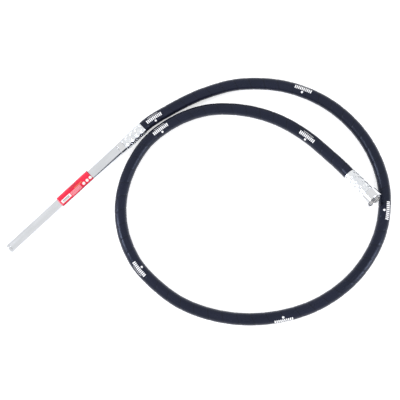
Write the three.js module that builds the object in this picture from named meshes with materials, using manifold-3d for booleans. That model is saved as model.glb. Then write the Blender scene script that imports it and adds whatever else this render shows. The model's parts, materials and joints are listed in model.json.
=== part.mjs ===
// Concrete vibrator: a steel vibrating head, a rubber drive hose and a screwed drive coupling.
// Millimetres, +Z up. The head lies along +X with its tip at -X, and the origin is under the
// middle of the head, on the surface that the whole tool lies on.

import * as THREE from 'three';
import { mergeVertices } from 'three/addons/utils/BufferGeometryUtils.js';
import Module from 'manifold-3d';

const wasm = await Module();
wasm.setup();

// ---------- driving dimensions ----------

const GAP = 0.3; // clearance between pieces that touch on the real tool
const ROUND = 24; // facets round a turned part
const FERRULE_ROUND = 32; // facets round a ferrule, so that its dimples fall on edges

// Head, in stations along its axis from the tip face.
const HEAD_LENGTH = 366;
const HEAD_RADIUS = 12.5;
const HEAD_BORE = 9.8;
const THREAD_BORE = 10.6; // counterbore at each end of the head tube
const TIP_CAP_END = 6;
const TIP_THREAD_END = 20;
const TUBE_END = 299;
const REAR_THREAD_START = 284;
const ADAPTOR_END = 312.7;
const ADAPTOR_RADIUS = 13.25;
const LABEL_START = 138;
const LABEL_END = 222;

// Ball bearings, 8 x 19 x 6.
const BEARING_WIDTH = 6;
const BEARING_OUTER = 9.5;
const BEARING_BORE = 4.3;
const BALL_RADIUS = 1.5;
const BALL_PITCH_RADIUS = 6.9;
const BALL_COUNT = 7;
const FRONT_BEARING = 27.3; // station of each bearing's middle
const REAR_BEARING = 205;

// Eccentric rotor.
const JOURNAL_RADIUS = 4;
const WEIGHT_RADIUS = 9.1;
const WEIGHT_START = 34;
const WEIGHT_END = 196;
const TAIL_START = 212;
const TAIL_END = 224;
const TAIL_SQUARE = 5.6;

// Hose, liner and flexible core.
const HOSE_RADIUS = 12;
const HOSE_BORE = 8;
const LINER_RADIUS = 7.1;
const LINER_BORE = 5.2;
const CORE_RADIUS = 4;
const CORE_START = 226.4; // head station of the core's swaged end
const HOSE_STEPS = 42;
const HOSE_START = 316.6; // head station of the hose's first end face

// Crimped ferrules and the barbed stems under them, from the shoulder towards the hose.
const FERRULE_LENGTH = 53;
const FERRULE_RADIUS = 14;
const FERRULE_BORE = 12.35;
const FERRULE_LIP = 3;
const DIMPLE_DEPTH = 1.3;
const DIMPLE_ROWS = 7;
const DIMPLE_FIRST = 8;
const DIMPLE_STEP = 6.4;
const STEM_RADIUS = 7.1;
const STEM_WAIST = 6.5;
const STEM_BORE = 4.9;
const BARB_COUNT = 4;

// Drive coupling, in stations outwards from the hose's last end face.
const DRIVE_POINT = [408.8, -409.2, 29.6];
const DRIVE_YAW = -95.3;
const DRIVE_PITCH = 14.65;
const NECK_RADIUS = 8.6;
const FLANGE_RADIUS = 13;
const FLANGE_START = 8.5;
const FLANGE_END = 12.6;
const COLLAR_RADIUS = 17.5;
const COLLAR_BORE = 13.6;
const COLLAR_START = 4.2;
const COLLAR_END = 23.7;
const SPIGOT_RADIUS = 5.6;
const SPIGOT_END = 22.5;
const SPIGOT_SQUARE = 7;

// The hose's centreline where it lies free, from the head round the loop to the coupling.
const LIE_HEIGHT = 12.1;
const HOSE_ROUTE = [
  [160, 0, 14],
  [185, 0, 14],
  [211, -2.6, 13.6],
  [237, -8.2, 12.9],
  [281, -19.5, 12.3],
  [324, -35, LIE_HEIGHT],
  [388, -71.5, LIE_HEIGHT],
  [453, -144.5, LIE_HEIGHT],
  [487.5, -235.5, LIE_HEIGHT],
  [485.5, -332, LIE_HEIGHT],
  [447, -420, LIE_HEIGHT],
  [375.5, -482.5, LIE_HEIGHT],
  [286, -509, LIE_HEIGHT],
  [194.5, -500, LIE_HEIGHT],
  [112, -460, LIE_HEIGHT],
  [44.5, -397, LIE_HEIGHT],
  [-1, -315, LIE_HEIGHT],
  [-14.5, -220.5, LIE_HEIGHT],
  [-7, -173, LIE_HEIGHT],
  [12.5, -127.5, LIE_HEIGHT],
  [42.5, -88.5, LIE_HEIGHT],
  [81.5, -58.5, LIE_HEIGHT],
  [127, -38, LIE_HEIGHT],
  [174, -28.6, LIE_HEIGHT],
  [229, -34, LIE_HEIGHT],
  [276, -50, LIE_HEIGHT],
  [316.5, -75.7, LIE_HEIGHT],
  [361, -125, LIE_HEIGHT],
  [392, -182.5, LIE_HEIGHT],
  [408.4, -245.1, LIE_HEIGHT],
  [413.6, -309.4, LIE_HEIGHT],
  [414.6, -341.4, 13.3],
];

// ---------- materials ----------

function metal(color, roughness) {
  return new THREE.MeshStandardMaterial({ color, roughness, metalness: 1 });
}

function soft(color, roughness) {
  return new THREE.MeshStandardMaterial({ color, roughness, metalness: 0 });
}

const STEEL = metal(0xc9cdd2, 0.25);
const ZINC = metal(0xd2d6db, 0.32);
const BEARING_STEEL = metal(0xb9bcc0, 0.15);
const DARK_STEEL = metal(0x6c6f73, 0.45);
const BRONZE = metal(0xa8793f, 0.4);
const RUBBER = soft(0x17181b, 0.5);
const SEAL_RUBBER = soft(0x1d1d1f, 0.7);
const LABEL_FILM = soft(0xc41426, 0.35);
const CAGE_POLYMER = soft(0x7a4a2a, 0.6);

// ---------- shape helpers: every part is drawn along its own +X axis ----------

const X_AXIS = new THREE.Vector3(1, 0, 0);
const Y_AXIS = new THREE.Vector3(0, 1, 0);
const Z_AXIS = new THREE.Vector3(0, 0, 1);

// A [station, radius] outline turned about +X. It runs outwards at the low station, along the
// outside, and back along the bore. An outline that starts on the axis ends on it too.
function turned(outline, facets = ROUND) {
  const points = outline.map(([station, radius]) => new THREE.Vector2(radius, station));
  const onAxis = points[0].x === 0;
  const closed = onAxis ? points : [...points, points[0].clone()];
  const geometry = new THREE.LatheGeometry(closed, facets);
  return geometry.applyMatrix4(new THREE.Matrix4().makeBasis(Z_AXIS, X_AXIS, Y_AXIS));
}

function ring(start, end, inner, outer, facets = ROUND) {
  return turned([[start, inner], [start, outer], [end, outer], [end, inner]], facets);
}

function rod(start, end, radius, facets = ROUND) {
  const geometry = new THREE.CylinderGeometry(radius, radius, end - start, facets);
  geometry.translate(0, (start + end) / 2, 0);
  return geometry.applyMatrix4(new THREE.Matrix4().makeBasis(Z_AXIS, X_AXIS, Y_AXIS));
}

// A shape drawn in the Y-Z plane and carried along +X.
function drawn(shape, start, end, curveSegments = 8) {
  const settings = { depth: end - start, bevelEnabled: false, curveSegments };
  const geometry = new THREE.ExtrudeGeometry(shape, settings);
  geometry.translate(0, 0, start);
  return geometry.applyMatrix4(new THREE.Matrix4().makeBasis(Y_AXIS, Z_AXIS, X_AXIS));
}

function sector(inner, outer, fromDegrees, toDegrees) {
  const from = THREE.MathUtils.degToRad(fromDegrees);
  const to = THREE.MathUtils.degToRad(toDegrees);
  const shape = new THREE.Shape();
  shape.absarc(0, 0, outer, from, to, false);
  shape.absarc(0, 0, inner, to, from, true);
  return shape;
}

function square(side) {
  const half = side / 2;
  const corners = [[-half, -half], [half, -half], [half, half], [-half, half]];
  return new THREE.Shape(corners.map(([x, y]) => new THREE.Vector2(x, y)));
}

function polygonPoints(radius, sides) {
  return Array.from({ length: sides }, (_, side) => {
    const angle = (side / sides) * 2 * Math.PI;
    return new THREE.Vector2(radius * Math.cos(angle), radius * Math.sin(angle));
  });
}

// ---------- booleans ----------

function toSolid(geometry) {
  const bare = geometry.clone();
  bare.deleteAttribute('normal');
  bare.deleteAttribute('uv');
  const merged = mergeVertices(bare, 1e-4);
  const vertProperties = Float32Array.from(merged.attributes.position.array);
  const triVerts = Uint32Array.from(merged.index.array);
  return new wasm.Manifold(new wasm.Mesh({ numProp: 3, vertProperties, triVerts }));
}

function toGeometry(solid) {
  const mesh = solid.getMesh();
  const geometry = new THREE.BufferGeometry();
  geometry.setAttribute('position', new THREE.BufferAttribute(mesh.vertProperties, 3));
  geometry.setIndex(new THREE.BufferAttribute(mesh.triVerts, 1));
  geometry.computeVertexNormals();
  return geometry;
}

function joined(...geometries) {
  const solids = geometries.map(toSolid);
  return toGeometry(solids.reduce((whole, piece) => whole.add(piece)));
}

function cut(body, ...tools) {
  return toGeometry(tools.reduce((rest, tool) => rest.subtract(toSolid(tool)), toSolid(body)));
}

// ---------- scene graph ----------

const tool = new THREE.Group();

const head = new THREE.Group();
head.position.set(-HEAD_LENGTH / 2, 0, FERRULE_RADIUS);
tool.add(head);

const drive = new THREE.Group();
drive.position.set(...DRIVE_POINT);
drive.rotation.set(
  0,
  -THREE.MathUtils.degToRad(DRIVE_PITCH),
  THREE.MathUtils.degToRad(DRIVE_YAW),
  'ZYX',
);
tool.add(drive);

function add(parent, name, geometry, material) {
  const mesh = new THREE.Mesh(geometry, material);
  mesh.name = name;
  parent.add(mesh);
  return mesh;
}

// ---------- vibrating head: tube, tip and label ----------

function headTube() {
  const groove = REAR_BEARING + BEARING_WIDTH / 2 + 0.2;
  const grooveEnd = groove + 1.6;
  return turned([
    [TIP_CAP_END + GAP, THREAD_BORE],
    [TIP_CAP_END + GAP, HEAD_RADIUS],
    [TUBE_END, HEAD_RADIUS],
    [TUBE_END, THREAD_BORE],
    [REAR_THREAD_START, THREAD_BORE],
    [REAR_THREAD_START, HEAD_BORE],
    [grooveEnd, HEAD_BORE],
    [grooveEnd, THREAD_BORE],
    [groove, THREAD_BORE],
    [groove, HEAD_BORE],
    [TIP_THREAD_END + GAP, HEAD_BORE],
    [TIP_THREAD_END + GAP, THREAD_BORE],
  ]);
}

// A flat-faced plug with a threaded spigot, bored out from behind to clear the rotor's end.
function tipCap() {
  const chamfer = 0.8;
  const recess = 8;
  return turned([
    [0, 0],
    [0, HEAD_RADIUS - chamfer],
    [chamfer, HEAD_RADIUS],
    [TIP_CAP_END, HEAD_RADIUS],
    [TIP_CAP_END, THREAD_BORE - GAP],
    [TIP_THREAD_END, THREAD_BORE - GAP],
    [TIP_THREAD_END, recess],
    [TIP_CAP_END + 4, recess],
    [TIP_CAP_END + 4, 0],
  ]);
}

add(head, 'tip_cap', tipCap(), STEEL);
add(head, 'head_tube', headTube(), STEEL);
const labelInner = HEAD_RADIUS + 0.25;
const labelOuter = HEAD_RADIUS + 0.45;
const labelWrap = sector(labelInner, labelOuter, -70, 154);
add(head, 'name_label', drawn(labelWrap, LABEL_START, LABEL_END), LABEL_FILM);

// ---------- ball bearings ----------

const RACE_LAND = 8.1; // inner radius of the outer ring beside its groove
const INNER_LAND = 5.9;
const GROOVE_HALF = 1.7;
const GROOVE_FLOOR_HALF = 0.9;

function outerRing() {
  const half = BEARING_WIDTH / 2;
  const floor = BALL_PITCH_RADIUS + BALL_RADIUS + 0.25;
  return turned([
    [-half, RACE_LAND],
    [-half, BEARING_OUTER],
    [half, BEARING_OUTER],
    [half, RACE_LAND],
    [GROOVE_HALF, RACE_LAND],
    [GROOVE_FLOOR_HALF, floor],
    [-GROOVE_FLOOR_HALF, floor],
    [-GROOVE_HALF, RACE_LAND],
  ]);
}

function innerRing() {
  const half = BEARING_WIDTH / 2;
  const floor = BALL_PITCH_RADIUS - BALL_RADIUS - 0.2;
  return turned([
    [-half, BEARING_BORE],
    [-half, INNER_LAND],
    [-GROOVE_HALF, INNER_LAND],
    [-GROOVE_FLOOR_HALF, floor],
    [GROOVE_FLOOR_HALF, floor],
    [GROOVE_HALF, INNER_LAND],
    [half, INNER_LAND],
    [half, BEARING_BORE],
  ]);
}

function ballPlace(index) {
  const angle = (index / BALL_COUNT) * 2 * Math.PI;
  const y = BALL_PITCH_RADIUS * Math.cos(angle);
  const z = BALL_PITCH_RADIUS * Math.sin(angle);
  return new THREE.Vector3(0, y, z);
}

// A crown cage: one ring with a pocket round each ball, open on the front side.
function ballCage() {
  const crown = ring(-1, 2.6, INNER_LAND + GAP, RACE_LAND - GAP);
  const pockets = Array.from({ length: BALL_COUNT }, (_, index) => {
    const place = ballPlace(index);
    const pocket = new THREE.SphereGeometry(BALL_RADIUS + 0.25, 6, 5);
    return pocket.translate(place.x, place.y, place.z);
  });
  return cut(crown, ...pockets);
}

function addBearing(prefix, station) {
  const bearing = new THREE.Group();
  bearing.position.set(station, 0, 0);
  head.add(bearing);
  add(bearing, `${prefix}_bearing_outer_ring`, outerRing(), BEARING_STEEL);
  add(bearing, `${prefix}_bearing_inner_ring`, innerRing(), BEARING_STEEL);
  add(bearing, `${prefix}_bearing_cage`, ballCage(), CAGE_POLYMER);
  for (let index = 0; index < BALL_COUNT; index += 1) {
    const ball = new THREE.SphereGeometry(BALL_RADIUS, 6, 5);
    const mesh = add(bearing, `${prefix}_ball_${index + 1}`, ball, BEARING_STEEL);
    mesh.position.copy(ballPlace(index));
  }
}

addBearing('front', FRONT_BEARING);
addBearing('rear', REAR_BEARING);

// ---------- rotor and what holds it ----------

// A shaft with a half-round weight, shoulders against both bearings and a square tail.
function eccentricRotor() {
  const shoulder = 5.4;
  const frontShoulder = FRONT_BEARING + BEARING_WIDTH / 2 + GAP;
  const rearShoulder = REAR_BEARING - BEARING_WIDTH / 2 - GAP;
  return joined(
    rod(FRONT_BEARING - BEARING_WIDTH / 2, TAIL_START, JOURNAL_RADIUS),
    rod(frontShoulder, WEIGHT_START + 1, shoulder),
    rod(WEIGHT_END - 1, rearShoulder, shoulder),
    drawn(sector(0, WEIGHT_RADIUS, 180, 360), WEIGHT_START, WEIGHT_END),
    drawn(square(TAIL_SQUARE), TAIL_START - 1, TAIL_END),
  );
}

// Joins the rotor's square tail to the swaged end of the flexible core.
function shaftCoupling() {
  const start = TAIL_START + GAP;
  const end = 250;
  const body = rod(start, end, 6.5);
  const socket = drawn(square(TAIL_SQUARE + 0.6), start - 1, TAIL_END + GAP);
  const swage = rod(CORE_START - GAP, end + 1, CORE_RADIUS + 0.4);
  return cut(body, socket, swage);
}

function oilSeal() {
  const start = 214;
  const end = 220;
  return turned([
    [start, 7.9],
    [start, BEARING_OUTER],
    [end, BEARING_OUTER],
    [end, 6.9],
    [end - 1.4, 6.9],
    [end - 1.4, 7.9],
  ]);
}

add(head, 'eccentric_rotor', eccentricRotor(), DARK_STEEL);
add(head, 'shaft_coupling', shaftCoupling(), DARK_STEEL);
add(head, 'front_spacer', ring(TIP_THREAD_END + 2 * GAP, 24, 8.4, BEARING_OUTER), STEEL);
const circlip = sector(8.2, THREAD_BORE - GAP, -60, 240);
const circlipStart = REAR_BEARING + BEARING_WIDTH / 2 + 0.5;
add(head, 'rear_circlip', drawn(circlip, circlipStart, circlipStart + 1), DARK_STEEL);
add(head, 'oil_seal', oilSeal(), SEAL_RUBBER);

// ---------- barbed stems and crimped ferrules, drawn from the shoulder along +X ----------

// The sawtooth outside of a stem, from its shoulder to its far end.
function barbs(start, end) {
  const pitch = (end - start) / BARB_COUNT;
  const outline = [];
  for (let barb = 0; barb < BARB_COUNT; barb += 1) {
    outline.push([start + barb * pitch, STEM_RADIUS]);
    outline.push([start + (barb + 1) * pitch - GAP, STEM_WAIST]);
  }
  return outline;
}

// A sleeve whose outside is pressed into staggered dimples, with a lip at the shoulder end.
function ferrule() {
  const chamfer = 1;
  const rows = [[0, FERRULE_RADIUS - chamfer], [chamfer, FERRULE_RADIUS]];
  rows.push([DIMPLE_FIRST - DIMPLE_STEP / 2, FERRULE_RADIUS]);
  for (let row = 0; row < DIMPLE_ROWS; row += 1) {
    rows.push([DIMPLE_FIRST + row * DIMPLE_STEP, FERRULE_RADIUS]);
  }
  rows.push([FERRULE_LENGTH, FERRULE_RADIUS - 0.4]);
  const bore = [
    [FERRULE_LENGTH, FERRULE_BORE],
    [FERRULE_LIP, FERRULE_BORE],
    [FERRULE_LIP, STEM_RADIUS + 0.4],
    [0, STEM_RADIUS + 0.4],
  ];
  const geometry = turned([...rows, ...bore], FERRULE_ROUND);
  const position = geometry.attributes.position;
  const vertex = new THREE.Vector3();
  for (let index = 0; index < position.count; index += 1) {
    vertex.fromBufferAttribute(position, index);
    const radius = Math.hypot(vertex.y, vertex.z);
    const row = Math.round((vertex.x - DIMPLE_FIRST) / DIMPLE_STEP);
    const rowStation = DIMPLE_FIRST + row * DIMPLE_STEP;
    const onRow = row >= 0 && row < DIMPLE_ROWS && Math.abs(vertex.x - rowStation) < 0.01;
    const facet = Math.round((Math.atan2(vertex.z, vertex.y) / (2 * Math.PI)) * FERRULE_ROUND);
    const onColumn = facet % 2 === 0;
    const staggered = (Math.abs(facet / 2) + row) % 2 === 0;
    if (onRow && onColumn && staggered && radius > FERRULE_BORE + DIMPLE_DEPTH / 2) {
      const pressed = (radius - DIMPLE_DEPTH) / radius;
      position.setXYZ(index, vertex.x, vertex.y * pressed, vertex.z * pressed);
    }
  }
  return geometry;
}

// The visible shoulder behind the head tube, its threaded spigot and the stem in the hose.
function rearAdaptor(stemEnd) {
  const chamfer = 0.6;
  const groove = [293, 296.2];
  const grooveRadius = 8.8;
  const spigot = THREAD_BORE - GAP;
  return turned([
    [REAR_THREAD_START + GAP, STEM_BORE],
    [REAR_THREAD_START + GAP, spigot],
    [groove[0], spigot],
    [groove[0], grooveRadius],
    [groove[1], grooveRadius],
    [groove[1], spigot],
    [TUBE_END + GAP, spigot],
    [TUBE_END + GAP, ADAPTOR_RADIUS - chamfer],
    [TUBE_END + GAP + chamfer, ADAPTOR_RADIUS],
    [ADAPTOR_END, ADAPTOR_RADIUS],
    ...barbs(ADAPTOR_END, stemEnd),
    [stemEnd, STEM_WAIST],
    [stemEnd, STEM_BORE],
  ]);
}

function headORing() {
  const station = 294.6;
  const section = polygonPoints(0.7, 6).map((point) => [station + point.x, 9.7 + point.y]);
  return turned(section.reverse());
}

// ---------- hose, liner and core ----------

const headPoint = (station) => new THREE.Vector3(station - HEAD_LENGTH / 2, 0, FERRULE_RADIUS);
drive.updateMatrixWorld(true);
const drivePoint = (station) => new THREE.Vector3(station, 0, 0).applyMatrix4(drive.matrixWorld);

const hoseCurve = new THREE.CatmullRomCurve3([
  headPoint(HOSE_START),
  ...HOSE_ROUTE.map((place) => new THREE.Vector3(...place)),
  drivePoint(-54),
  drivePoint(-27),
  drivePoint(0),
]);
const hoseStations = hoseCurve.getSpacedPoints(HOSE_STEPS);
const hoseStep = hoseCurve.getLength() / HOSE_STEPS;

// The hose, its liner and the core share these stations, so that they stay concentric.
class StationPath extends THREE.Curve {
  constructor(stations) {
    super();
    this.stations = stations;
  }

  getPoint(t, target = new THREE.Vector3()) {
    const place = t * (this.stations.length - 1);
    const index = Math.min(Math.floor(place), this.stations.length - 2);
    return target.lerpVectors(this.stations[index], this.stations[index + 1], place - index);
  }

  getPointAt(u, target) {
    return this.getPoint(u, target);
  }

  getTangentAt(u, target) {
    return this.getTangent(u, target);
  }
}

function swept(stations, outer, outerSides, bore, boreSides) {
  const shape = new THREE.Shape(polygonPoints(outer, outerSides));
  if (bore) {
    shape.holes.push(new THREE.Path(polygonPoints(bore, boreSides)));
  }
  const extrudePath = new StationPath(stations);
  const settings = { steps: stations.length - 1, extrudePath, bevelEnabled: false };
  return new THREE.ExtrudeGeometry(shape, settings);
}

const linerStations = hoseStations.slice(1, HOSE_STEPS);
const coreStations = [headPoint(CORE_START), headPoint(271), ...hoseStations, drivePoint(14)];
add(tool, 'hose', swept(hoseStations, HOSE_RADIUS, 12, HOSE_BORE, 8), RUBBER);
add(tool, 'hose_liner', swept(linerStations, LINER_RADIUS, 8, LINER_BORE, 8), ZINC);
add(tool, 'flexible_core', swept(coreStations, CORE_RADIUS, 8), DARK_STEEL);

// ---------- head end of the hose ----------

const stemReach = hoseStep - 1.8; // a stem stops just short of the liner's slanted end
add(head, 'rear_adaptor', rearAdaptor(HOSE_START + stemReach), ZINC);
add(head, 'head_o_ring', headORing(), SEAL_RUBBER);
const headFerrule = add(head, 'head_ferrule', ferrule(), ZINC);
headFerrule.position.set(ADAPTOR_END + GAP, 0, 0);

// ---------- drive coupling ----------

// The barbed stem, its neck through the collar's back wall and the flange that holds the collar.
function driveStem() {
  const pocket = 5.5;
  const pocketRadius = 7.4;
  const shoulder = FERRULE_LIP + 2 * GAP;
  const outside = barbs(-shoulder, stemReach).map(([station, radius]) => [-station, radius]);
  return turned([
    [-stemReach, STEM_BORE],
    [-stemReach, STEM_WAIST],
    ...outside.reverse(),
    [shoulder, NECK_RADIUS],
    [FLANGE_START, NECK_RADIUS],
    [FLANGE_START, FLANGE_RADIUS],
    [FLANGE_END, FLANGE_RADIUS],
    [FLANGE_END, pocketRadius],
    [pocket, pocketRadius],
    [pocket, STEM_BORE],
  ]);
}

// A smooth round nut with a chamfered heel and a turned line behind its mouth.
function collarNut() {
  const heelChamfer = 1.2;
  const backWall = 4;
  const line = COLLAR_END - 2.6;
  const lineWidth = 0.9;
  const lineDepth = 0.5;
  const mouth = 0.7;
  return turned([
    [COLLAR_START, NECK_RADIUS + 0.4],
    [COLLAR_START, COLLAR_RADIUS - heelChamfer],
    [COLLAR_START + heelChamfer, COLLAR_RADIUS],
    [line, COLLAR_RADIUS],
    [line, COLLAR_RADIUS - lineDepth],
    [line + lineWidth, COLLAR_RADIUS - lineDepth],
    [line + lineWidth, COLLAR_RADIUS],
    [COLLAR_END - mouth, COLLAR_RADIUS],
    [COLLAR_END, COLLAR_RADIUS - mouth],
    [COLLAR_END, COLLAR_BORE],
    [COLLAR_START + backWall, COLLAR_BORE],
    [COLLAR_START + backWall, NECK_RADIUS + 0.4],
  ]);
}

// A sleeve swaged onto the core, with a square end that the motor drives.
function driveSpigot() {
  const start = 5.9;
  const sleeveEnd = 16;
  const body = joined(
    rod(start, sleeveEnd, SPIGOT_RADIUS),
    drawn(square(SPIGOT_SQUARE), sleeveEnd - 1, SPIGOT_END),
  );
  return cut(body, rod(start - 1, 14 + GAP, CORE_RADIUS + 0.4));
}

add(drive, 'drive_stem', driveStem(), ZINC);
const driveFerrule = add(drive, 'drive_ferrule', ferrule(), ZINC);
driveFerrule.rotation.set(0, Math.PI, 0);
driveFerrule.position.set(FERRULE_LIP + GAP, 0, 0);
add(drive, 'collar_nut', collarNut(), STEEL);
add(drive, 'spigot_bush', ring(6, 12.3, SPIGOT_RADIUS + 0.4, 7.05), BRONZE);
add(drive, 'thrust_washer', ring(12.9, 13.9, SPIGOT_RADIUS + 0.4, 9), BRONZE);
add(drive, 'coupling_gasket', ring(12.9, 14.4, 9.4, 12.9), SEAL_RUBBER);
add(drive, 'drive_spigot', driveSpigot(), DARK_STEEL);

export default tool;
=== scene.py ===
# Looks of the concrete vibrator: a steel head, a wrapped rubber hose and a screwed coupling.
# Metres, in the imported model's own frame: the head lies along +X and everything rests on z = 0.

import json
import math

import bpy
import numpy as np
from mathutils import Matrix, Vector


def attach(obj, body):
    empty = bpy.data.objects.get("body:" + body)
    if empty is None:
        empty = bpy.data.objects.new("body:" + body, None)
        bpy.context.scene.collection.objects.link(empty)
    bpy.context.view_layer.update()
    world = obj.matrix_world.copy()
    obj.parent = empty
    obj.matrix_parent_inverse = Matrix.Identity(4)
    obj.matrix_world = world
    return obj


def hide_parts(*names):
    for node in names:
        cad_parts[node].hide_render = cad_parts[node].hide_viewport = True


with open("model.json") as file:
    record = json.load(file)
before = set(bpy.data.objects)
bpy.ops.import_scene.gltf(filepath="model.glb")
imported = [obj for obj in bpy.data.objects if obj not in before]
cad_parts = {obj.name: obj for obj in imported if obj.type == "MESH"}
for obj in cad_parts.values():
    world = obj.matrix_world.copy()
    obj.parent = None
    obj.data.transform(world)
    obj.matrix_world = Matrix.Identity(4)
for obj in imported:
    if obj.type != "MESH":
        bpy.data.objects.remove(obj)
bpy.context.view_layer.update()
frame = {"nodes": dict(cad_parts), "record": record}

MM = 0.001
FULL_TURN = 2 * math.pi

# ---------- camera ----------

VIEW_CENTRE = Vector((0.1655, -0.1927, 0.0123))
VIEW_AZIMUTH = math.radians(-14.8)
VIEW_ELEVATION = math.radians(77.6)
VIEW_ROLL = math.radians(-28.45)
VIEW_DISTANCE = 1.4928
VIEW_ANGLE = math.radians(30)


def view_axes():
    """The camera's right, up and backward directions."""
    flat = math.cos(VIEW_ELEVATION)
    back = Vector((
        math.sin(VIEW_AZIMUTH) * flat,
        -math.cos(VIEW_AZIMUTH) * flat,
        math.sin(VIEW_ELEVATION),
    ))
    level = Vector((0, 0, 1)).cross(back).normalized()
    top = back.cross(level)
    right = math.cos(VIEW_ROLL) * level + math.sin(VIEW_ROLL) * top
    return right, back.cross(right), back


VIEW_RIGHT, VIEW_UP, VIEW_BACK = view_axes()


def add_camera():
    camera = bpy.data.objects.new("camera", bpy.data.cameras.new("camera"))
    camera.data.sensor_width = 36
    camera.data.angle = VIEW_ANGLE
    camera.data.clip_start = 0.01
    turn = Matrix((VIEW_RIGHT, VIEW_UP, VIEW_BACK)).transposed().to_4x4()
    camera.matrix_world = Matrix.Translation(VIEW_CENTRE + VIEW_BACK * VIEW_DISTANCE) @ turn
    bpy.context.scene.collection.objects.link(camera)
    bpy.context.scene.camera = camera


add_camera()

# ---------- places, in metres ----------

HEAD_PLACE = Matrix.Translation((-0.183, 0, 0.014))
DRIVE_PLACE = (
    Matrix.Translation((0.4088, -0.4092, 0.0296))
    @ Matrix.Rotation(math.radians(-95.3), 4, "Z")
    @ Matrix.Rotation(math.radians(-14.65), 4, "Y")
)
TUBE_RADIUS = 12.5 * MM
LABEL_START, LABEL_END = 138 * MM, 222 * MM
LABEL_WRAP_DEGREES = 224  # how far the film goes round the tube
LABEL_MIDDLE_DEGREES = 42  # where the film's middle lies, from +Y towards the top
SHOULDER_END = 312.7 * MM
FERRULE_START = 313 * MM
FERRULE_LENGTH = 53 * MM
HOSE_START = 316.6 * MM
HOSE_RADIUS = 12 * MM
HOSE_BORE = 8 * MM
WRAP_PITCH = 29 * MM
CORE_START = 226.4 * MM
STEM_REACH = 48.9 * MM

# The hose's centreline where it lies free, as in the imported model.
LIE_HEIGHT = 0.0121
HOSE_ROUTE = [
    (0.160, 0, 0.014),
    (0.185, 0, 0.014),
    (0.211, -0.0026, 0.0136),
    (0.237, -0.0082, 0.0129),
    (0.281, -0.0195, 0.0123),
    (0.324, -0.035, LIE_HEIGHT),
    (0.388, -0.0715, LIE_HEIGHT),
    (0.453, -0.1445, LIE_HEIGHT),
    (0.4875, -0.2355, LIE_HEIGHT),
    (0.4855, -0.332, LIE_HEIGHT),
    (0.447, -0.420, LIE_HEIGHT),
    (0.3755, -0.4825, LIE_HEIGHT),
    (0.286, -0.509, LIE_HEIGHT),
    (0.1945, -0.500, LIE_HEIGHT),
    (0.112, -0.460, LIE_HEIGHT),
    (0.0445, -0.397, LIE_HEIGHT),
    (-0.001, -0.315, LIE_HEIGHT),
    (-0.0145, -0.2205, LIE_HEIGHT),
    (-0.007, -0.173, LIE_HEIGHT),
    (0.0125, -0.1275, LIE_HEIGHT),
    (0.0425, -0.0885, LIE_HEIGHT),
    (0.0815, -0.0585, LIE_HEIGHT),
    (0.127, -0.038, LIE_HEIGHT),
    (0.174, -0.0286, LIE_HEIGHT),
    (0.229, -0.034, LIE_HEIGHT),
    (0.276, -0.050, LIE_HEIGHT),
    (0.3165, -0.0757, LIE_HEIGHT),
    (0.361, -0.125, LIE_HEIGHT),
    (0.392, -0.1825, LIE_HEIGHT),
    (0.4084, -0.2451, LIE_HEIGHT),
    (0.4136, -0.3094, LIE_HEIGHT),
    (0.4146, -0.3414, 0.0133),
]


def head_point(station):
    return HEAD_PLACE @ Vector((station, 0, 0))


def drive_point(station):
    return DRIVE_PLACE @ Vector((station, 0, 0))


# ---------- curves ----------


def smooth_route(points, steps=60):
    """A centripetal Catmull-Rom curve through the points, as closely spaced places."""
    knots = [np.array(point, dtype=float) for point in points]
    knots = [2 * knots[0] - knots[1], *knots, 2 * knots[-1] - knots[-2]]
    along = np.linspace(0, 1, steps, endpoint=False)[:, None]
    stretches = []
    for a, b, c, d in zip(knots, knots[1:], knots[2:], knots[3:], strict=False):
        gap_ab = np.linalg.norm(b - a) ** 0.5
        gap_bc = np.linalg.norm(c - b) ** 0.5
        gap_cd = np.linalg.norm(d - c) ** 0.5
        lean_b = ((b - a) / gap_ab - (c - a) / (gap_ab + gap_bc) + (c - b) / gap_bc) * gap_bc
        lean_c = ((c - b) / gap_bc - (d - b) / (gap_bc + gap_cd) + (d - c) / gap_cd) * gap_bc
        square = 3 * (c - b) - 2 * lean_b - lean_c
        cube = 2 * (b - c) + lean_b + lean_c
        stretches.append(b + lean_b * along + square * along**2 + cube * along**3)
    return np.vstack([*stretches, knots[-2]])


class Sweep:
    """A centreline with, at each station, its direction, the way up and the loop's outer side."""

    def __init__(self, places):
        steps = np.linalg.norm(np.diff(places, axis=0), axis=1)
        self.stations = np.concatenate([[0], np.cumsum(steps)])
        self.length = float(self.stations[-1])
        self.places = places
        along = np.gradient(places, self.stations, axis=0)
        self.along = along / np.linalg.norm(along, axis=1)[:, None]
        outer = np.cross((0, 0, 1), self.along)
        self.outer = outer / np.linalg.norm(outer, axis=1)[:, None]
        self.up = np.cross(self.along, self.outer)

    def at(self, values, station):
        return np.stack([np.interp(station, self.stations, column) for column in values.T], -1)

    def centre(self, station):
        return self.at(self.places, station)

    def point(self, station, angle, radius):
        """Where a point of that radius lies. The angle is from the top towards the outer side."""
        up = self.at(self.up, station) * np.cos(angle)[..., None]
        outer = self.at(self.outer, station) * np.sin(angle)[..., None]
        return self.centre(station) + (up + outer) * np.asarray(radius)[..., None]


def placed(points, matrix):
    turn = np.array(matrix.to_3x3())
    return points @ turn.T + np.array(matrix.translation)


# ---------- meshes ----------


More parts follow.
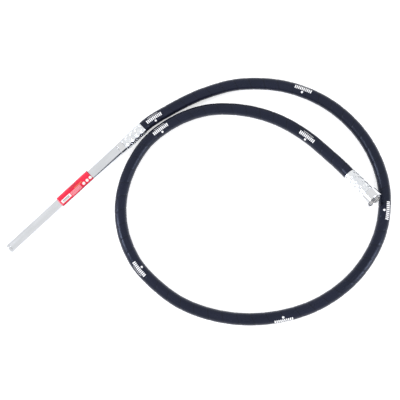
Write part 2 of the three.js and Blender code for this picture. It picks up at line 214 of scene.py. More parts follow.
def new_piece(name, points, faces, look, straight=None, smooth_angle=35):
    """A piece from points and faces. straight is each point's place on the uncurled, upright part,
    which the materials use, so that their grain follows the part."""
    mesh = bpy.data.meshes.new(name)
    mesh.from_pydata(np.asarray(points).tolist(), [], faces)
    mesh.shade_smooth()
    mesh.set_sharp_from_angle(angle=math.radians(smooth_angle))
    if straight is not None:
        layer = mesh.attributes.new("straight", "FLOAT_VECTOR", "POINT")
        layer.data.foreach_set("vector", np.asarray(straight, dtype=np.float32).ravel())
    mesh.materials.append(look)
    mesh.update()
    piece = bpy.data.objects.new(name, mesh)
    bpy.context.scene.collection.objects.link(piece)
    return piece


def grid_faces(rows, columns, first=0, close_rows=False, close_columns=True):
    """Quads over a grid of points, which are numbered row by row from first."""
    faces = []
    for row in range(rows if close_rows else rows - 1):
        here = first + row * columns
        after = first + ((row + 1) % rows) * columns
        for column in range(columns if close_columns else columns - 1):
            beside = (column + 1) % columns
            faces.append((here + column, here + beside, after + beside, after + column))
    return faces


def flipped(faces):
    return [tuple(reversed(face)) for face in faces]


def softened(outline, radius, closed=True, steps=4):
    """The outline with each corner rounded, and a support point beside each rounding."""
    corners = [np.array(corner, dtype=float) for corner in outline]
    count = len(corners)
    result = []
    for index, corner in enumerate(corners):
        if not closed and index in (0, count - 1):
            result.append(corner)
            continue
        before = corners[index - 1] - corner
        after = corners[(index + 1) % count] - corner
        reach_before = np.linalg.norm(before)
        reach_after = np.linalg.norm(after)
        cut = min(radius, 0.3 * reach_before, 0.3 * reach_after)
        before /= reach_before
        after /= reach_after
        result.append(corner + before * cut * 1.25)
        for step in range(steps + 1):
            share = step / steps
            start = corner + before * cut * (1 - share)
            end = corner + after * cut * share
            result.append(start * (1 - share) + end * share)
        result.append(corner + after * cut * 1.25)
    return result


def turned_piece(name, outline, place, look, sides=96, shape=None, closed=True):
    """A turned part. The outline is a list of (station, radius), outwards at the low station,
    along the outside and back along the bore. An open outline starts and ends on the axis.
    shape(station, angle, radius) may press or thread it."""
    outline = np.array(outline)
    rim = outline if closed else outline[1:-1]
    angle = np.linspace(0, FULL_TURN, sides, endpoint=False)
    station = np.repeat(rim[:, :1], sides, axis=1)
    radius = np.repeat(rim[:, 1:], sides, axis=1)
    around = np.repeat(angle[None, :], len(rim), axis=0)
    if shape:
        radius = shape(station, around, radius)
    local = np.stack([station, radius * np.cos(around), radius * np.sin(around)], -1)
    local = local.reshape(-1, 3)
    faces = flipped(grid_faces(len(rim), sides, close_rows=closed))
    if not closed:
        first, last = len(local), len(local) + 1
        ends = [[outline[0][0], 0, 0], [outline[-1][0], 0, 0]]
        local = np.vstack([local, ends])
        tail = (len(rim) - 1) * sides
        for side in range(sides):
            beside = (side + 1) % sides
            faces.append((first, beside, side))
            faces.append((last, tail + side, tail + beside))
    return new_piece(name, placed(local, place), faces, look, local)


def swept_piece(name, sweep, radius, look, start=0.0, end=None, sides=40, step=1.45 * MM,
                bore=0.0, shape=None):
    """A tube or a rod along a sweep, from station start to station end."""
    end = sweep.length if end is None else end
    rows = max(2, round((end - start) / step) + 1)
    stations = np.linspace(start, end, rows)
    angles = np.linspace(-math.pi, math.pi, sides, endpoint=False)
    station = np.repeat(stations[:, None], sides, axis=1)
    angle = np.repeat(angles[None, :], rows, axis=0)
    outer = np.full_like(station, radius)
    if shape:
        outer = shape(station, angle, outer)
    walls = [outer]
    if bore:
        walls.append(np.full_like(station, bore))
    points = [sweep.point(station, angle, wall).reshape(-1, 3) for wall in walls]
    straight = [
        np.stack([station, wall * np.sin(angle), wall * np.cos(angle)], -1).reshape(-1, 3)
        for wall in walls
    ]
    faces = grid_faces(rows, sides)
    last = (rows - 1) * sides
    if bore:
        inside = rows * sides
        faces += flipped(grid_faces(rows, sides, first=inside))
        for side in range(sides):
            beside = (side + 1) % sides
            faces.append((side, inside + side, inside + beside, beside))
            faces.append((last + side, last + beside, inside + last + beside, inside + last + side))
    else:
        faces.append(tuple(range(sides - 1, -1, -1)))
        faces.append(tuple(last + side for side in range(sides)))
    return new_piece(name, np.vstack(points), faces, look, np.vstack(straight))


def ink_bar(centre_along, centre_across, length, width, corner):
    """A printed bar on a developed surface: (along, across, length, width, corner radius)."""
    return centre_along, centre_across, length, width, corner


def printed_piece(name, bars, surface, look, rise, sink=0.03 * MM, columns=14, rows=8):
    """Thin closed prints on a surface. surface(along, across, rise) gives places, and a bar's
    ends and corners are rounded."""
    points, straight, faces = [], [], []
    for along, across, length, width, corner in bars:
        share = 0.5 - 0.5 * np.cos(np.linspace(0, math.pi, columns))
        x = (share - 0.5) * length
        over = np.maximum(np.abs(x) - (length / 2 - corner), 0)
        half = width / 2 - corner + np.sqrt(np.maximum(corner**2 - over**2, (0.05 * MM) ** 2))
        y = np.linspace(-1, 1, rows)
        grid_x = np.repeat(x[:, None], rows, axis=1) + along
        grid_y = half[:, None] * y[None, :] + across
        first = len(points) * columns * rows
        points.append(surface(grid_x, grid_y, rise).reshape(-1, 3))
        points.append(surface(grid_x, grid_y, -sink).reshape(-1, 3))
        flat = np.stack([grid_x, grid_y, np.zeros_like(grid_x)], -1).reshape(-1, 3)
        straight += [flat, flat]
        under = first + columns * rows
        faces += grid_faces(columns, rows, first=first, close_columns=False)
        faces += flipped(grid_faces(columns, rows, first=under, close_columns=False))
        rim = [row for row in range(rows)]
        rim += [column * rows + rows - 1 for column in range(1, columns)]
        rim += [(columns - 1) * rows + row for row in range(rows - 2, -1, -1)]
        rim += [column * rows for column in range(columns - 2, 0, -1)]
        for here, after in zip(rim, rim[1:] + rim[:1], strict=True):
            faces.append((first + after, first + here, under + here, under + after))
    return new_piece(name, np.vstack(points), faces, look, np.vstack(straight))


# ---------- materials ----------


class Look:
    """A Principled material and the nodes that feed it."""

    def __init__(self, name, metallic=0.0, straight=True, **sockets):
        self.material = bpy.data.materials.new(name)
        self.material.use_nodes = True
        self.tree = self.material.node_tree
        self.shader = self.tree.nodes["Principled BSDF"]
        self.shader.inputs["Metallic"].default_value = metallic
        for socket, value in sockets.items():
            self.shader.inputs[socket.replace("_", " ")].default_value = value
        if straight:
            self.place = self.node("ShaderNodeAttribute", attribute_name="straight")
            self.place = self.place.outputs["Vector"]
        else:
            self.place = self.node("ShaderNodeTexCoord").outputs["Object"]

    def node(self, kind, **settings):
        node = self.tree.nodes.new(kind)
        for setting, value in settings.items():
            setattr(node, setting, value)
        return node

    def link(self, source, target):
        if hasattr(source, "is_output"):
            self.tree.links.new(source, target)
        else:
            target.default_value = source

    def math(self, operation, *values):
        node = self.node("ShaderNodeMath", operation=operation)
        for value, socket in zip(values, node.inputs, strict=False):
            self.link(value, socket)
        return node.outputs[0]

    def stretched(self, along, across, third=None):
        """The part's own coordinates, with each direction scaled to so many grains a metre."""
        node = self.node("ShaderNodeVectorMath", operation="MULTIPLY")
        self.link(self.place, node.inputs[0])
        node.inputs[1].default_value = (along, across, across if third is None else third)
        return node.outputs[0]

    def noise(self, along, across=None, detail=3.0, roughness=0.5):
        """Noise of so many grains a metre, finer or coarser across the part than along it."""
        node = self.node("ShaderNodeTexNoise")
        node.inputs["Scale"].default_value = 1
        node.inputs["Detail"].default_value = detail
        node.inputs["Roughness"].default_value = roughness
        self.link(self.stretched(along, along if across is None else across),
                  node.inputs["Vector"])
        return node.outputs["Fac"]

    def ramp(self, source, *stops):
        """A colour ramp. Each stop is (position, grey level or colour)."""
        node = self.node("ShaderNodeValToRGB")
        elements = node.color_ramp.elements
        while len(elements) < len(stops):
            elements.new(0.5)
        for element, (position, colour) in zip(elements, stops, strict=True):
            element.position = position
            grey = isinstance(colour, int | float)
            element.color = (colour, colour, colour, 1) if grey else (*colour, 1)
        self.link(source, node.inputs["Fac"])
        return node.outputs["Color"]

    def mix(self, share, first, second, blend="MIX"):
        node = self.node("ShaderNodeMix", data_type="RGBA", blend_type=blend)
        self.link(share, node.inputs["Factor"])
        for colour, socket in ((first, node.inputs["A"]), (second, node.inputs["B"])):
            self.link(colour if hasattr(colour, "is_output") else (*colour, 1), socket)
        return node.outputs["Result"]

    def range(self, source, low, high):
        """A value from 0 to 1 brought to low to high."""
        node = self.node("ShaderNodeMapRange")
        self.link(source, node.inputs["Value"])
        node.inputs["To Min"].default_value = low
        node.inputs["To Max"].default_value = high
        return node.outputs["Result"]

    def bumps(self, *layers):
        """Bump layers, each (height, distance in metres, strength)."""
        normal = None
        for height, distance, strength in layers:
            node = self.node("ShaderNodeBump")
            node.inputs["Distance"].default_value = distance
            node.inputs["Strength"].default_value = strength
            self.link(height, node.inputs["Height"])
            if normal is not None:
                self.link(normal, node.inputs["Normal"])
            normal = node.outputs["Normal"]
        self.link(normal, self.shader.inputs["Normal"])

    def colour(self, source):
        self.link(source, self.shader.inputs["Base Color"])

    def roughness(self, source):
        self.link(source, self.shader.inputs["Roughness"])


def helix_phase(look, pitch):
    """How far round the wrap a point is, from 0 to 1 between one joint and the next."""
    split = look.node("ShaderNodeSeparateXYZ")
    look.link(look.place, split.inputs[0])
    turn = look.math("ARCTAN2", split.outputs["Y"], split.outputs["Z"])
    turn = look.math("DIVIDE", turn, FULL_TURN)
    along = look.math("DIVIDE", split.outputs["X"], pitch)
    return look.math("FRACT", look.math("ADD", look.math("ADD", along, turn), 100.0))


def hose_rubber():
    """Black rubber cured under a cloth wrap: its weave is left in the surface, and its joints."""
    look = Look("hose_rubber", Specular_IOR_Level=0.30, Specular_Tint=(0.72, 0.81, 1.0, 1))
    cloudy = look.noise(9, 60, detail=4)
    speckle = look.noise(900, 900, detail=2, roughness=0.7)
    base = look.ramp(cloudy, (0.3, (0.0055, 0.0070, 0.0165)), (0.7, (0.0105, 0.0120, 0.0265)))
    dusty = look.ramp(speckle, (0.56, 0.0), (0.72, 0.35))
    base = look.mix(dusty, base, (0.035, 0.037, 0.05))
    phase = helix_phase(look, WRAP_PITCH)
    joint = look.ramp(phase, (0.0, 1.0), (0.035, 0.0), (0.965, 0.0), (1.0, 1.0))
    look.colour(look.mix(joint, base, (0.004, 0.004, 0.005)))
    warp = look.math("SINE", look.math("MULTIPLY", phase, FULL_TURN * 24))
    split = look.node("ShaderNodeSeparateXYZ")
    look.link(look.place, split.inputs[0])
    weft = look.math("SINE", look.math("MULTIPLY", split.outputs["X"], FULL_TURN / (1.3 * MM)))
    weave = look.math("ADD", look.math("MULTIPLY", warp, 0.5), look.math("MULTIPLY", weft, 0.35))
    look.roughness(look.range(look.noise(30, 120, detail=4), 0.18, 0.34))
    look.bumps((weave, 0.05 * MM, 0.5), (look.noise(260, 260), 0.12 * MM, 0.35))
    return look.material


def hose_ink():
    """White ink rubbed thin in places."""
    look = Look("hose_ink", Specular_IOR_Level=0.4)
    worn = look.ramp(look.noise(420, 420, detail=4, roughness=0.65), (0.30, 0.0), (0.42, 1.0))
    look.colour(look.mix(worn, (0.24, 0.24, 0.26), (0.98, 0.98, 0.98)))
    look.roughness(look.range(look.noise(200), 0.42, 0.6))
    look.bumps((look.noise(900), 0.04 * MM, 0.4))
    return look.material


def polished_steel(name, tone, rough, turning):
    """Bright steel with fine marks round it, a few long scratches and handling smudges."""
    look = Look(name, metallic=1.0)
    smudge = look.noise(22, 60, detail=4)
    base = look.ramp(smudge, (0.3, tuple(0.90 * shade for shade in tone)), (0.7, tone))
    lines = look.noise(turning, turning * 0.02, detail=2, roughness=0.7)
    scratch = look.noise(6, 1500, detail=2, roughness=0.8)
    marks = look.ramp(scratch, (0.62, 0.0), (0.70, 0.25))
    look.colour(look.mix(marks, base, tuple(0.6 * shade for shade in tone)))
    uneven = look.math("ADD", look.math("MULTIPLY", smudge, 0.6), look.math("MULTIPLY", lines, 0.4))
    look.roughness(look.range(uneven, rough * 0.6, rough * 1.5))
    look.bumps((lines, 0.02 * MM, 0.25), (scratch, 0.02 * MM, 0.15))
    return look.material


def zinc_plate():
    """Bright zinc plating with faint spangle and darker stains here and there."""
    look = Look("zinc_plate", metallic=1.0)
    cells = look.node("ShaderNodeTexVoronoi")
    cells.inputs["Scale"].default_value = 1
    look.link(look.stretched(260, 260), cells.inputs["Vector"])
    spangle = look.ramp(cells.outputs["Color"], (0.2, (0.80, 0.83, 0.87)), (0.8, (0.92, 0.94, 0.96)))
    stain = look.ramp(look.noise(90, 90, detail=5, roughness=0.6), (0.55, 0.0), (0.8, 0.35))
    look.colour(look.mix(stain, spangle, (0.60, 0.61, 0.63)))
    look.roughness(look.range(look.noise(140, 140, detail=4), 0.12, 0.26))
    look.bumps((look.noise(420, 420), 0.05 * MM, 0.3), (look.noise(2200), 0.02 * MM, 0.2))
    return look.material


def label_red():
    """A glossy red film that shows a little wrinkling."""
    look = Look("label_film", Specular_IOR_Level=0.25)
    fade = look.noise(40, 90, detail=4)
    look.colour(look.ramp(fade, (0.3, (0.68, 0.014, 0.044)), (0.7, (0.86, 0.026, 0.068))))
    look.roughness(look.range(look.noise(60, 200), 0.26, 0.44))
    look.bumps((look.noise(70, 160), 0.12 * MM, 0.35), (look.noise(1500), 0.02 * MM, 0.2))
    return look.material


def label_ink(name, tone, worn_tone):
    look = Look(name)
    worn = look.ramp(look.noise(500, 500, detail=4, roughness=0.65), (0.32, 0.0), (0.45, 1.0))
    look.colour(look.mix(worn, worn_tone, tone))
    look.roughness(look.range(look.noise(200), 0.3, 0.5))
    look.bumps((look.noise(900), 0.02 * MM, 0.3))
    return look.material


def machined(name, tone, low, high, straight=True, grain=700):
    """Metal as machined, with fine grain and darker stains."""
    look = Look(name, metallic=1.0, straight=straight)
    stain = look.noise(120, 120, detail=5)
    dark = tuple(0.62 * shade for shade in tone)
    look.colour(look.ramp(stain, (0.3, dark), (0.65, tone)))
    look.roughness(look.range(look.noise(grain, grain, detail=4), low, high))
    look.bumps((look.noise(grain * 3, grain), 0.03 * MM, 0.35))
    return look.material


def moulded(name, tone, low, high, straight=True):
    """A moulded polymer or rubber part, slightly mottled."""
    look = Look(name, straight=straight)
    pale = tuple(1.5 * shade for shade in tone)
    look.colour(look.ramp(look.noise(160, 160, detail=4), (0.35, tone), (0.7, pale)))
    look.roughness(look.range(look.noise(300, 300, detail=3), low, high))
    look.bumps((look.noise(1400, 1400), 0.04 * MM, 0.4))
    return look.material


RUBBER = hose_rubber()
HOSE_INK = hose_ink()
HEAD_STEEL = polished_steel("head_steel", (0.80, 0.82, 0.85), 0.17, 1400)
COLLAR_STEEL = polished_steel("collar_steel", (0.84, 0.85, 0.87), 0.10, 2600)
ZINC = zinc_plate()
LABEL_RED = label_red()
LABEL_WHITE = label_ink("label_white", (0.86, 0.85, 0.82), (0.75, 0.45, 0.45))
LABEL_PINK = label_ink("label_pink", (0.84, 0.36, 0.40), (0.62, 0.10, 0.14))
LABEL_GOLD = label_ink("label_gold", (0.62, 0.25, 0.06), (0.55, 0.08, 0.05))
LABEL_DARK = label_ink("label_dark", (0.055, 0.04, 0.045), (0.16, 0.02, 0.03))
LABEL_MAROON = label_ink("label_maroon", (0.16, 0.012, 0.03), (0.24, 0.02, 0.05))
DARK_STEEL = machined("dark_steel", (0.40, 0.41, 0.42), 0.30, 0.50)
BRONZE = machined("bronze", (0.62, 0.40, 0.17), 0.28, 0.45)
SEAL = moulded("seal_rubber", (0.010, 0.010, 0.011), 0.55, 0.75)
INNER_DARK_STEEL = machined("inner_dark_steel", (0.40, 0.41, 0.42), 0.30, 0.50, straight=False)
BEARING_STEEL = machined("bearing_steel", (0.72, 0.73, 0.75), 0.08, 0.2, straight=False)
INNER_STEEL = machined("inner_steel", (0.66, 0.67, 0.69), 0.22, 0.4, straight=False)
CAGE = moulded("cage_polymer", (0.16, 0.075, 0.03), 0.45, 0.65, straight=False)
INNER_SEAL = moulded("inner_seal_rubber", (0.010, 0.010, 0.011), 0.55, 0.75, straight=False)

# ---------- hose, liner and core ----------

hose_path = Sweep(smooth_route([
    head_point(HOSE_START),
    *HOSE_ROUTE,
    drive_point(-0.054),
    drive_point(-0.027),
    drive_point(0),
]))


GROOVE_DEPTH = 0.38 * MM
GROOVE_REACH = 1.4 * MM
SWELL = 0.09 * MM


def wrapped(station, angle, radius):
    """The wrap's edge: a shallow groove where one turn of cloth met the next, and the squeeze of
    the ferrules at both ends."""
    phase = (station / WRAP_PITCH + angle / FULL_TURN + 100) % 1.0
    off_joint = np.minimum(phase, 1 - phase) * WRAP_PITCH
    groove = GROOVE_DEPTH * np.exp(-((off_joint / GROOVE_REACH) ** 2))
    swell = SWELL * np.sin(math.pi * phase)
    from_end = np.minimum(station, hose_path.length - station)
    free = np.clip((from_end - 44 * MM) / (6 * MM), 0, 1)
    squeeze = 1.2 * MM * (1 - free)
    return radius - squeeze + (swell - groove) * free


hose = swept_piece("drive_hose", hose_path, HOSE_RADIUS, RUBBER, bore=HOSE_BORE, shape=wrapped)
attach(hose, "head")
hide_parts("hose")

LINER_INSET = 50.6 * MM
LINER_RADIUS = 7.1 * MM
LINER_PITCH = 7 * MM


def wound_strip(station, angle, radius):
    """A wound steel strip: each turn laps over the last."""
    phase = (station / LINER_PITCH + angle / FULL_TURN + 100) % 1.0
    return radius - 0.5 * MM * phase


liner = swept_piece("wound_liner", hose_path, LINER_RADIUS, ZINC, start=LINER_INSET,
                    end=hose_path.length - LINER_INSET, sides=20, step=2.3 * MM,
                    bore=5.2 * MM, shape=wound_strip)
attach(liner, "head")
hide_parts("hose_liner")

core_path = Sweep(np.vstack([
    np.linspace(head_point(CORE_START), head_point(HOSE_START), 40, endpoint=False),
    hose_path.places,
    np.linspace(drive_point(0), drive_point(14 * MM), 10)[1:],
]))
CORE_RADIUS = 4 * MM
CORE_WIRES = 7
CORE_LAY = 34 * MM


def stranded(station, angle, radius):
    """The outer layer of wires, laid round the core."""
    phase = CORE_WIRES * (angle - FULL_TURN * station / CORE_LAY)
    return radius - 0.45 * MM * (1 - np.abs(np.cos(phase / 2)))


core = swept_piece("wire_core", core_path, CORE_RADIUS, DARK_STEEL, sides=28, step=2.6 * MM,
                   shape=stranded)
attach(core, "head")
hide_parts("flexible_core")

# ---------- marks printed on the hose ----------

# Each mark's station in millimetres, and its degrees from the top towards the loop's outer side.
MARKS = [(79, -6), (400, 12), (712, 28), (1015, 52), (1323, 10), (1643, -4), (1964, -13)]
MARK_BAR_COUNT = 10
MARK_BAR_PITCH = 3.64 * MM
MARK_BAR_WIDTH = 2.3 * MM
MARK_BAR_HEIGHT = 7.0 * MM
MARK_LINE_LENGTH = 24 * MM
MARK_LINE_WIDTH = 0.6 * MM
MARK_LINE_PLACE = 6.2 * MM
MARK_DOT = 4.6 * MM
MARK_DOT_PLACE = -7.4 * MM


def hose_surface(along, across, rise):
    angle = across / HOSE_RADIUS
    base = wrapped(along, angle, np.full_like(along, HOSE_RADIUS))
    return hose_path.point(along, angle, base + rise)


def mark_bars():
    """Groups of plain bars every so often along the hose, with a dot beside each group."""
    bars = []
    for station, degrees in MARKS:
        middle = math.radians(degrees) * HOSE_RADIUS
        for place in range(MARK_BAR_COUNT):
            along = station * MM + (place - (MARK_BAR_COUNT - 1) / 2) * MARK_BAR_PITCH
            bars.append(ink_bar(along, middle, MARK_BAR_WIDTH, MARK_BAR_HEIGHT, 0.3 * MM))
        bars.append(ink_bar(station * MM, middle + MARK_LINE_PLACE, MARK_LINE_LENGTH,
                            MARK_LINE_WIDTH, 0.3 * MM))
        bars.append(ink_bar(station * MM, middle + MARK_DOT_PLACE, MARK_DOT, MARK_DOT,
                            MARK_DOT / 2))
    return bars


hose_marks = printed_piece("hose_marks", mark_bars(), hose_surface, HOSE_INK, rise=0.08 * MM)
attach(hose_marks, "head")

# ---------- vibrating head ----------


def tip_cap():
    outline = [
        (0, 0),
        (0, 11.7), (0.8, 12.5), (6, 12.5), (6, 10.3), (20, 10.3), (20, 8), (10, 8),
        (10, 0),
    ]
    outline = [(station * MM, radius * MM) for station, radius in outline]
    return turned_piece("steel_tip", softened(outline, 0.35 * MM, closed=False), HEAD_PLACE,
                        HEAD_STEEL, closed=False)


def head_tube():
    outline = [
        (6.3, 10.6), (6.3, 12.5), (299, 12.5), (299, 10.6), (284, 10.6), (284, 9.8),
        (209.8, 9.8), (209.8, 10.6), (208.2, 10.6), (208.2, 9.8), (20.3, 9.8), (20.3, 10.6),
    ]
    outline = [(station * MM, radius * MM) for station, radius in outline]
    return turned_piece("steel_tube", softened(outline, 0.3 * MM), HEAD_PLACE, HEAD_STEEL)


def label_surface(along, across, rise):
    """across is measured round the tube, from +Y towards the top."""
    angle = across / TUBE_RADIUS
    radius = TUBE_RADIUS + 0.05 * MM + rise
    local = np.stack([along, radius * np.cos(angle), radius * np.sin(angle)], -1)
    return placed(local.reshape(-1, 3), HEAD_PLACE).reshape(local.shape)


def on_label(station, degrees, length, width, corner=0.4):
    """A print on the label, in millimetres, with its middle at that station and angle."""
    across = math.radians(degrees) * TUBE_RADIUS
    return ink_bar(station * MM, across, length * MM, width * MM, corner * MM)


def add_label():
    """The red film and the plain bars, lines and spots printed on it."""
    middle = (LABEL_START + LABEL_END) / 2 / MM
    length = (LABEL_END - LABEL_START) / MM
    wrap = math.radians(LABEL_WRAP_DEGREES) * TUBE_RADIUS / MM
    outline = on_label(middle, LABEL_MIDDLE_DEGREES, length, wrap, corner=1.0)
    film = printed_piece("label_film", [outline], label_surface, LABEL_RED, rise=0.18 * MM,
                         sink=0, columns=40, rows=72)
    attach(film, "head")
    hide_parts("name_label")
    prints = {
        "label_white_print": (LABEL_WHITE, 0.26, [
            on_label(154, 114, 24, 7.0),
            *[on_label(place, 120, 6.2, 6.0, 2.6) for place in (200.5, 209.5, 218)],
        ]),
        "label_pink_print": (LABEL_PINK, 0.24, [
            on_label(139, LABEL_MIDDLE_DEGREES, 1.4, wrap - 3),
            *[on_label(180, 104 + 10 * row, 26, 1.4, 0.7) for row in range(4)],
        ]),
        "label_gold_print": (LABEL_GOLD, 0.24, [on_label(190, 93, 20, 1.2, 0.6)]),
        "label_dark_print": (LABEL_DARK, 0.30, [
            *[on_label(147.2 + 2.7 * place, 114, 1.2, 3.4, 0.3) for place in range(6)],
            *[on_label(173 + 4.2 * place, 62, 3.0, 1.8, 0.5) for place in range(4)],
        ]),
        "label_maroon_print": (LABEL_MAROON, 0.24, [
            on_label(221.2, LABEL_MIDDLE_DEGREES, 1.2, wrap - 3),
            on_label(middle, 150, length - 3, 1.2),
        ]),
    }
    for name, (look, rise, bars) in prints.items():
        piece = printed_piece(name, bars, label_surface, look, rise=rise * MM, sink=0, rows=24)
        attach(piece, "head")


STEM_RADIUS = 7.1 * MM
STEM_WAIST = 6.5 * MM
STEM_BORE = 4.9 * MM
BARB_COUNT = 4


def barbs(start, end):
    """The sawtooth outside of a stem, from its shoulder to its far end."""
    pitch = (end - start) / BARB_COUNT
    outline = []
    for barb in range(BARB_COUNT):
        outline.append((start + barb * pitch, STEM_RADIUS))
        outline.append((start + (barb + 1) * pitch - 0.3 * MM, STEM_WAIST))
    return outline


def rear_adaptor():
    stem_end = HOSE_START + STEM_REACH
    start = [
        (284.3, 4.9), (284.3, 10.3), (293, 10.3), (293, 8.8), (296.2, 8.8), (296.2, 10.3),
        (299.3, 10.3), (299.3, 12.65), (299.9, 13.25), (312.7, 13.25),
    ]
    outline = [(station * MM, radius * MM) for station, radius in start]
    outline += barbs(SHOULDER_END, stem_end)
    outline += [(stem_end, STEM_WAIST), (stem_end, STEM_BORE)]
    return turned_piece("hose_adaptor", softened(outline, 0.35 * MM), HEAD_PLACE, COLLAR_STEEL)


def show(piece, body, node):
    """The piece rides on a body and stands for a node, which it hides."""
    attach(piece, body)
    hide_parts(node)
    return piece


show(tip_cap(), "head", "tip_cap")
show(head_tube(), "head", "head_tube")
add_label()
show(rear_adaptor(), "head", "rear_adaptor")

# ---------- crimped ferrules ----------

FERRULE_RADIUS = 14 * MM
FERRULE_BORE = 12.35 * MM
DIMPLE_FIRST = 8 * MM
DIMPLE_STEP = 6.4 * MM
DIMPLE_ROWS = 7
DIMPLE_COLUMNS = 16
DIMPLE_REACH = 4.0 * MM
DIMPLE_DEPTH = 1.3 * MM


def dimpled(station, angle, radius):
    """Round hollows in staggered rows, pressed in by the crimping jaws."""
    pressed = np.zeros_like(radius)
    for row in range(DIMPLE_ROWS):
        for column in range(row % 2, DIMPLE_COLUMNS, 2):
            along = station - (DIMPLE_FIRST + row * DIMPLE_STEP)
            turn = angle - column * FULL_TURN / DIMPLE_COLUMNS
            turn = (turn + math.pi) % FULL_TURN - math.pi
            away = np.hypot(along, turn * FERRULE_RADIUS) / DIMPLE_REACH
            hollow = np.where(away < 1, (1 - away**2) ** 2, 0)
            pressed = np.maximum(pressed, hollow)
    outside = radius > 12.8 * MM
    return radius - DIMPLE_DEPTH * pressed * outside


def ferrule(name, place):
    length = FERRULE_LENGTH
    rows = np.linspace(2 * MM, length - 0.6 * MM, 100)
    outside = [(station, FERRULE_RADIUS - 0.35 * MM * (station / length) ** 3)
               for station in rows]
    outline = [
        (0, STEM_RADIUS + 0.4 * MM),
        *softened([(0, 7.5 * MM), (0, FERRULE_RADIUS - 0.9 * MM), (0.9 * MM, FERRULE_RADIUS),
                   (2 * MM, FERRULE_RADIUS)], 0.4 * MM, closed=False)[1:-1],
        *outside,
        *softened([(length - 0.6 * MM, FERRULE_RADIUS - 0.35 * MM),
                   (length, FERRULE_RADIUS - 0.5 * MM), (length, FERRULE_BORE),
                   (3 * MM, FERRULE_BORE), (3 * MM, 7.5 * MM)], 0.25 * MM, closed=False)[1:],
    ]
    return turned_piece(name, outline, place, ZINC, sides=144, shape=dimpled)


head_sleeve = ferrule("head_sleeve", HEAD_PLACE @ Matrix.Translation((FERRULE_START, 0, 0))
                      @ Matrix.Rotation(math.radians(-7), 4, "X"))
show(head_sleeve, "head", "head_ferrule")
drive_sleeve = ferrule("drive_sleeve", DRIVE_PLACE @ Matrix.Translation((3.3 * MM, 0, 0))
                       @ Matrix.Rotation(math.pi, 4, "Y")
                       @ Matrix.Rotation(math.radians(-6), 4, "X"))
show(drive_sleeve, "head", "drive_ferrule")

# ---------- drive coupling, in stations outwards from the hose's end ----------

NECK_RADIUS = 8.6
THREAD_PITCH = 2 * MM
THREAD_DEPTH = 0.7 * MM
COLLAR_BORE = 13.6 * MM
COLLAR_END = 23.7  # millimetres, like the outlines below
SPIGOT_END = 22.5
SQUARE_HALF = 3.5 * MM
SQUARE_CORNER = 4.55 * MM


def drive_stem():
    outside = [(-station, radius) for station, radius in barbs(-3.6 * MM, STEM_REACH)]
    flange = [
        (3.6, NECK_RADIUS), (8.5, NECK_RADIUS), (8.5, 13), (12.6, 13), (12.6, 7.4),
        (5.5, 7.4), (5.5, 4.9),
    ]
    outline = [(-STEM_REACH, STEM_BORE), (-STEM_REACH, STEM_WAIST), *reversed(outside)]
    outline += [(station * MM, radius * MM) for station, radius in flange]
    return turned_piece("barbed_stem", softened(outline, 0.3 * MM), DRIVE_PLACE, ZINC)


def threaded(station, angle, radius):
    """A female thread in the collar's bore, from behind the mouth to the back wall."""
    phase = (station / THREAD_PITCH - angle / FULL_TURN + 100) % 1.0
    ridge = np.abs(2 * phase - 1)
    inside = np.abs(radius - COLLAR_BORE) < 0.01 * MM
    near_mouth = np.clip(((COLLAR_END - 1.2) * MM - station) / (1.5 * MM), 0, 1)
    near_back = np.clip((station - 9.2 * MM) / (1.0 * MM), 0, 1)
    return radius + THREAD_DEPTH * (1 - ridge) * inside * near_mouth * near_back


def collar_nut():
    line = COLLAR_END - 2.6
    outside = [
        (4.2, 9.0), (4.2, 16.3), (5.4, 17.5), (line, 17.5), (line, 17.0), (line + 0.9, 17.0),
        (line + 0.9, 17.5), (COLLAR_END - 0.7, 17.5), (COLLAR_END, 16.8), (COLLAR_END, 14.4),
        (COLLAR_END - 0.8, 13.6),
    ]
    outside = [(station * MM, radius * MM) for station, radius in outside]
    bore = [(station, COLLAR_BORE) for station in np.linspace((COLLAR_END - 1) * MM, 8.6 * MM, 120)]
    back = [(8.2 * MM, COLLAR_BORE), (8.2 * MM, 9.0 * MM)]
    outline = [*softened(outside, 0.3 * MM, closed=False), *bore, *back]
    return turned_piece("screw_collar", outline, DRIVE_PLACE, COLLAR_STEEL, shape=threaded)


def squared(station, angle, radius):
    """The spigot's square end, with rounded corners, beyond its round sleeve."""
    flat = SQUARE_HALF / np.maximum(np.abs(np.cos(angle)), np.abs(np.sin(angle)))
    side = np.minimum(flat, SQUARE_CORNER)
    on_square = (station > 15.9 * MM) & (radius > 3 * MM) & (radius < 4.8 * MM)
    return np.where(on_square, side * (radius / (4.6 * MM)), radius)


def drive_spigot():
    outline = [
        (14.3, 0), (14.3, 4.4), (5.9, 4.4), (5.9, 5.6), (16, 5.6), (16, 4.6),
        (SPIGOT_END - 0.7, 4.6), (SPIGOT_END, 4.1), (SPIGOT_END, 0),
    ]
    outline = [(station * MM, radius * MM) for station, radius in outline]
    return turned_piece("square_spigot", softened(outline, 0.25 * MM, closed=False), DRIVE_PLACE,
                        DARK_STEEL, shape=squared, closed=False)


def washer(name, start, end, inner, outer, look):
    """A plain ring in the coupling, in millimetres."""
    outline = [(start, inner), (start, outer), (end, outer), (end, inner)]
    outline = [(station * MM, radius * MM) for station, radius in outline]
    return turned_piece(name, softened(outline, 0.25 * MM), DRIVE_PLACE, look)


stem = show(drive_stem(), "head", "drive_stem")
collar = show(collar_nut(), "collar", "collar_nut")
spigot = show(drive_spigot(), "spigot", "drive_spigot")
bush = washer("bronze_bush", start=6, end=12.3, inner=6.0, outer=7.05, look=BRONZE)
show(bush, "head", "spigot_bush")
thrust = washer("bronze_washer", start=12.9, end=13.9, inner=6.0, outer=9.0, look=BRONZE)
show(thrust, "head", "thrust_washer")
gasket = washer("flange_gasket", start=12.9, end=14.4, inner=9.4, outer=12.9, look=SEAL)
show(gasket, "head", "coupling_gasket")

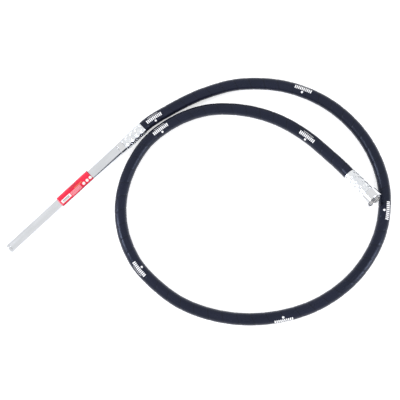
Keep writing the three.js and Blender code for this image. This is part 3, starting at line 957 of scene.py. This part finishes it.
# ---------- finishes of the pieces that stay as packed ----------

SLOT_LOOKS = {
    "head_steel": INNER_STEEL,
    "collar_steel": INNER_STEEL,
    "zinc_steel": INNER_STEEL,
    "ferrule_zinc": INNER_STEEL,
    "bearing_steel": BEARING_STEEL,
    "dark_steel": INNER_DARK_STEEL,
    "bronze": BEARING_STEEL,
    "hose_rubber": INNER_SEAL,
    "seal_rubber": INNER_SEAL,
    "label_film": LABEL_RED,
    "cage_polymer": CAGE,
}
node_slots = {
    part["node"]: part["material_slot"] for part in frame["record"]["subparts"]
}
for node, packed in frame["nodes"].items():
    look = SLOT_LOOKS[node_slots[node]]
    for slot in packed.material_slots:
        slot.material = look

# ---------- floor and light ----------

FLOOR_GLOW = 0.55
EVEN_LIGHT = 0.9
PALE_VIOLET = (0.82, 0.85, 1.0)


def add_floor():
    """A plain pale floor that glows a little, so that the ground stays white."""
    bpy.ops.mesh.primitive_plane_add(size=30, location=(0.16, -0.2, 0))
    floor = bpy.context.object
    floor.name = "floor"
    look = Look("pale_floor", straight=False)
    look.colour(look.ramp(look.noise(4, 4), (0.3, 0.90), (0.7, 0.92)))
    look.shader.inputs["Roughness"].default_value = 0.9
    look.shader.inputs["Specular IOR Level"].default_value = 0.1
    look.shader.inputs["Emission Color"].default_value = (1, 1, 1, 1)
    look.shader.inputs["Emission Strength"].default_value = FLOOR_GLOW
    floor.data.materials.append(look.material)


def add_panel(name, right, up, back, size, power, colour):
    """A soft panel light that faces the middle of the hose loop."""
    light = bpy.data.lights.new(name, "AREA")
    light.shape = "RECTANGLE"
    light.size, light.size_y = size
    light.energy = power
    light.color = colour
    panel = bpy.data.objects.new(name, light)
    place = VIEW_CENTRE + VIEW_RIGHT * right + VIEW_UP * up + VIEW_BACK * back
    facing = (place - VIEW_CENTRE).to_track_quat("Z", "Y").to_matrix().to_4x4()
    panel.matrix_world = Matrix.Translation(place) @ facing
    bpy.context.scene.collection.objects.link(panel)


def add_sky():
    """An even white room all round."""
    world = bpy.data.worlds.new("studio")
    bpy.context.scene.world = world
    world.use_nodes = True
    even = world.node_tree.nodes["Background"]
    even.inputs["Color"].default_value = (1, 1, 1, 1)
    even.inputs["Strength"].default_value = EVEN_LIGHT


add_floor()
add_panel("right_panel", right=1.72, up=-0.63, back=1.09, size=(0.36, 1.2), power=14,
          colour=PALE_VIOLET)
add_panel("left_panel", right=-1.41, up=0.07, back=0.75, size=(0.26, 0.9), power=11,
          colour=PALE_VIOLET)
add_sky()
bpy.context.scene.view_settings.view_transform = "Standard"
